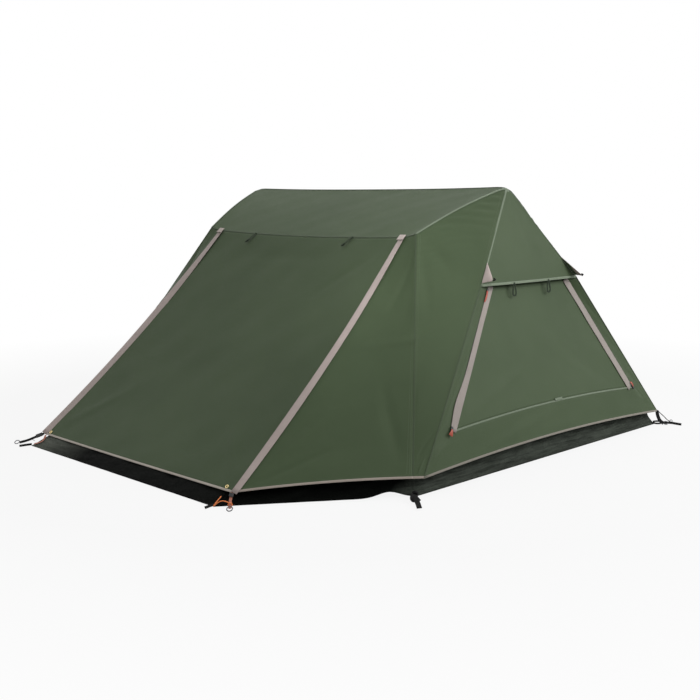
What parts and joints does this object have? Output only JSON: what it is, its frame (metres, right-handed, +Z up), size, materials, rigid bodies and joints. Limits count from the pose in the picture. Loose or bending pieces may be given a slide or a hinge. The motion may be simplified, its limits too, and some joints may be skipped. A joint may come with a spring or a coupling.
{
  "type": "frame tent",
  "caption": "Green frame tent with a sloping front awning panel, a hooded zip door at each side, a black tub floor and a hidden folding frame with telescopic legs.",
  "frame": {"origin": "on the ground under the middle of the ridge", "axes": "+X along the ridge to the right-hand door, +Y to the back, +Z up; the awning faces -Y"},
  "size_m": [2.6134, 2.62, 1.2526],
  "materials": {
    "green_cloth": "coated polyester, dull sheen",
    "black_cloth": "coated polyester, slight gloss",
    "grey_trim": "woven tape",
    "red_plastic": "moulded",
    "coated_tube": "grey powder coat",
    "black_plastic": "moulded"
  },
  "bodies": {
    "root": {"back_wall": "green_cloth", "corner_tie_back_left": "black_cloth", "corner_tie_back_right": "black_cloth", "corner_tie_front_left": "black_cloth", "corner_tie_front_right": "black_cloth", "floor_tail_left": "black_cloth", "floor_tail_right": "black_cloth", "floor_wall": "black_cloth", "groundsheet": "black_cloth", "guy_tab_back_left": "grey_trim", "guy_tab_back_right": "grey_trim", "guy_tab_front_left": "grey_trim", "guy_tab_front_right": "grey_trim", "hood_left": "green_cloth", "hood_right": "green_cloth", "leg_panel_back_left": "green_cloth", "leg_panel_back_right": "green_cloth", "leg_panel_front_left": "green_cloth", "leg_panel_front_right": "green_cloth", "roof_back": "green_cloth", "roof_front": "green_cloth", "side_surround_left": "green_cloth", "side_surround_right": "green_cloth", "vestibule_side_left": "green_cloth", "vestibule_side_right": "green_cloth"},
    "awning": {"awning": "green_cloth", "awning_zip_left": "grey_trim", "awning_zip_right": "grey_trim"},
    "side_door_right": {"side_door_right": "green_cloth", "side_zip_right": "grey_trim"},
    "side_door_left": {"side_door_left": "green_cloth", "side_zip_left": "grey_trim"},
    "awning_pull_left": {"awning_pull_left": "red_plastic"},
    "awning_pull_right": {"awning_pull_right": "red_plastic"},
    "side_pull_back_left": {"side_pull_back_left": "red_plastic"},
    "side_pull_back_right": {"side_pull_back_right": "red_plastic"},
    "side_pull_lower_left": {"side_pull_lower_left": "red_plastic"},
    "side_pull_lower_right": {"side_pull_lower_right": "red_plastic"},
    "side_pull_upper_left": {"side_pull_upper_left": "red_plastic"},
    "side_pull_upper_right": {"side_pull_upper_right": "red_plastic"},
    "ridge": {"ridge_pole": "coated_tube", "hub_left": "black_plastic", "hub_right": "black_plastic"},
    "arm_front_right": {"arm_front_right": "coated_tube"},
    "upper_leg_front_right": {"upper_leg_front_right": "coated_tube"},
    "lower_leg_front_right": {"lower_leg_front_right": "coated_tube"},
    "leg_button_front_right": {"leg_button_front_right": "red_plastic"},
    "arm_back_right": {"arm_back_right": "coated_tube"},
    "upper_leg_back_right": {"upper_leg_back_right": "coated_tube"},
    "lower_leg_back_right": {"lower_leg_back_right": "coated_tube"},
    "leg_button_back_right": {"leg_button_back_right": "red_plastic"},
    "arm_front_left": {"arm_front_left": "coated_tube"},
    "upper_leg_front_left": {"upper_leg_front_left": "coated_tube"},
    "lower_leg_front_left": {"lower_leg_front_left": "coated_tube"},
    "leg_button_front_left": {"leg_button_front_left": "red_plastic"},
    "arm_back_left": {"arm_back_left": "coated_tube"},
    "upper_leg_back_left": {"upper_leg_back_left": "coated_tube"},
    "lower_leg_back_left": {"lower_leg_back_left": "coated_tube"},
    "leg_button_back_left": {"leg_button_back_left": "red_plastic"}
  },
  "joints": [
    {"name": "frame_fold", "type": "slide", "parent": "root", "child": "ridge", "axis": [0, 0, 1], "range_m": [-1.1414, 0], "deforming": ["awning", "awning_pull_left", "awning_pull_right", "awning_zip_left", "awning_zip_right", "back_wall", "corner_tie_back_left", "corner_tie_back_right", "corner_tie_front_left", "corner_tie_front_right", "floor_wall", "groundsheet", "guy_tab_back_left", "guy_tab_back_right", "guy_tab_front_left", "guy_tab_front_right", "hood_left", "hood_right", "leg_panel_back_left", "leg_panel_back_right", "leg_panel_front_left", "leg_panel_front_right", "roof_back", "roof_front", "side_door_left", "side_door_right", "side_pull_back_left", "side_pull_back_right", "side_pull_lower_left", "side_pull_lower_right", "side_pull_upper_left", "side_pull_upper_right", "side_surround_left", "side_surround_right", "side_zip_left", "side_zip_right", "vestibule_side_left", "vestibule_side_right"]},
    {"name": "arm_fold_front_right", "type": "hinge", "parent": "ridge", "child": "arm_front_right", "pos_m": [0.847, -0.036, 1.1934], "axis": [-0.9614, 0.2753, 0], "range_deg": [0, 25.14]},
    {"name": "leg_fold_front_right", "type": "hinge", "parent": "arm_front_right", "child": "upper_leg_front_right", "pos_m": [0.727, -0.455, 0.989], "axis": [-0.7046, 0.4638, -0.537], "range_deg": [0, 51.97]},
    {"name": "leg_slide_front_right", "type": "slide", "parent": "upper_leg_front_right", "child": "lower_leg_front_right", "axis": [-0.3697, 0.4061, 0.8357], "range_m": [0, 0.4125]},
    {"name": "arm_fold_back_right", "type": "hinge", "parent": "ridge", "child": "arm_back_right", "pos_m": [0.847, 0.036, 1.1934], "axis": [0.9614, 0.2753, 0], "range_deg": [0, 25.14]},
    {"name": "leg_fold_back_right", "type": "hinge", "parent": "arm_back_right", "child": "upper_leg_back_right", "pos_m": [0.727, 0.455, 0.989], "axis": [0.7046, 0.4638, 0.537], "range_deg": [0, 51.97]},
    {"name": "leg_slide_back_right", "type": "slide", "parent": "upper_leg_back_right", "child": "lower_leg_back_right", "axis": [-0.3697, -0.4061, 0.8357], "range_m": [0, 0.4125]},
    {"name": "arm_fold_front_left", "type": "hinge", "parent": "ridge", "child": "arm_front_left", "pos_m": [-0.847, -0.036, 1.1934], "axis": [-0.9614, -0.2753, 0], "range_deg": [0, 25.14]},
    {"name": "leg_fold_front_left", "type": "hinge", "parent": "arm_front_left", "child": "upper_leg_front_left", "pos_m": [-0.727, -0.455, 0.989], "axis": [-0.7046, -0.4638, 0.537], "range_deg": [0, 51.97]},
    {"name": "leg_slide_front_left", "type": "slide", "parent": "upper_leg_front_left", "child": "lower_leg_front_left", "axis": [0.3697, 0.4061, 0.8357], "range_m": [0, 0.4125]},
    {"name": "arm_fold_back_left", "type": "hinge", "parent": "ridge", "child": "arm_back_left", "pos_m": [-0.847, 0.036, 1.1934], "axis": [0.9614, -0.2753, 0], "range_deg": [0, 25.14]},
    {"name": "leg_fold_back_left", "type": "hinge", "parent": "arm_back_left", "child": "upper_leg_back_left", "pos_m": [-0.727, 0.455, 0.989], "axis": [0.7046, -0.4638, -0.537], "range_deg": [0, 51.97]},
    {"name": "leg_slide_back_left", "type": "slide", "parent": "upper_leg_back_left", "child": "lower_leg_back_left", "axis": [0.3697, -0.4061, 0.8357], "range_m": [0, 0.4125]},
    {"name": "leg_button_press_front_right", "type": "slide", "parent": "upper_leg_front_right", "child": "leg_button_front_right", "axis": [0.6032, -0.5793, 0.5483], "range_m": [0, 0.0025], "stiffness_N_per_m": 300},
    {"name": "leg_button_press_back_right", "type": "slide", "parent": "upper_leg_back_right", "child": "leg_button_back_right", "axis": [0.6032, 0.5793, 0.5483], "range_m": [0, 0.0025], "stiffness_N_per_m": 300},
    {"name": "leg_button_press_front_left", "type": "slide", "parent": "upper_leg_front_left", "child": "leg_button_front_left", "axis": [-0.6032, -0.5793, 0.5483], "range_m": [0, 0.0025], "stiffness_N_per_m": 300},
    {"name": "leg_button_press_back_left", "type": "slide", "parent": "upper_leg_back_left", "child": "leg_button_back_left", "axis": [-0.6032, 0.5793, 0.5483], "range_m": [0, 0.0025], "stiffness_N_per_m": 300},
    {"name": "awning_open", "type": "hinge", "parent": "root", "child": "awning", "pos_m": [0, -0.476, 1.021], "axis": [-1, 0, 0], "range_deg": [0, 70]},
    {"name": "side_door_open_right", "type": "hinge", "parent": "root", "child": "side_door_right", "pos_m": [1.02006, 0.029, 0.806], "axis": [0, -1, 0], "range_deg": [0, 75]},
    {"name": "side_door_open_left", "type": "hinge", "parent": "root", "child": "side_door_left", "pos_m": [-1.02006, 0.029, 0.806], "axis": [0, 1, 0], "range_deg": [0, 75]},
    {"name": "awning_unzip_right", "type": "slide", "parent": "root", "child": "awning_pull_right", "axis": [-0.0495, 0.7398, 0.671], "range_m": [0, 1.363]},
    {"name": "side_unzip_upper_right", "type": "slide", "parent": "root", "child": "side_pull_upper_right", "axis": [0.2271, -0.6129, -0.7568], "range_m": [0, 0.627]},
    {"name": "side_unzip_lower_right", "type": "slide", "parent": "root", "child": "side_pull_lower_right", "axis": [0, 1, 0], "range_m": [0, 1.348]},
    {"name": "side_unzip_back_right", "type": "slide", "parent": "root", "child": "side_pull_back_right", "axis": [-0.2446, -0.525, 0.8152], "range_m": [0, 0.672]},
    {"name": "awning_unzip_left", "type": "slide", "parent": "root", "child": "awning_pull_left", "axis": [0.0495, 0.7398, 0.671], "range_m": [0, 1.363]},
    {"name": "side_unzip_upper_left", "type": "slide", "parent": "root", "child": "side_pull_upper_left", "axis": [-0.2271, -0.6129, -0.7568], "range_m": [0, 0.627]},
    {"name": "side_unzip_lower_left", "type": "slide", "parent": "root", "child": "side_pull_lower_left", "axis": [0, 1, 0], "range_m": [0, 1.348]},
    {"name": "side_unzip_back_left", "type": "slide", "parent": "root", "child": "side_pull_back_left", "axis": [0.2446, -0.525, 0.8152], "range_m": [0, 0.672]}
  ],
  "couplings": [
    {"joint": "arm_fold_front_right", "follows": "frame_fold", "rad_per_m": -0.3842},
    {"joint": "leg_fold_front_right", "follows": "frame_fold", "rad_per_m": -0.79456},
    {"joint": "leg_slide_front_right", "follows": "frame_fold", "ratio": -0.36096},
    {"joint": "arm_fold_back_right", "follows": "frame_fold", "rad_per_m": -0.3842},
    {"joint": "leg_fold_back_right", "follows": "frame_fold", "rad_per_m": -0.79456},
    {"joint": "leg_slide_back_right", "follows": "frame_fold", "ratio": -0.36096},
    {"joint": "arm_fold_front_left", "follows": "frame_fold", "rad_per_m": -0.3842},
    {"joint": "leg_fold_front_left", "follows": "frame_fold", "rad_per_m": -0.79456},
    {"joint": "leg_slide_front_left", "follows": "frame_fold", "ratio": -0.36096},
    {"joint": "arm_fold_back_left", "follows": "frame_fold", "rad_per_m": -0.3842},
    {"joint": "leg_fold_back_left", "follows": "frame_fold", "rad_per_m": -0.79456},
    {"joint": "leg_slide_back_left", "follows": "frame_fold", "ratio": -0.36096}
  ]
}
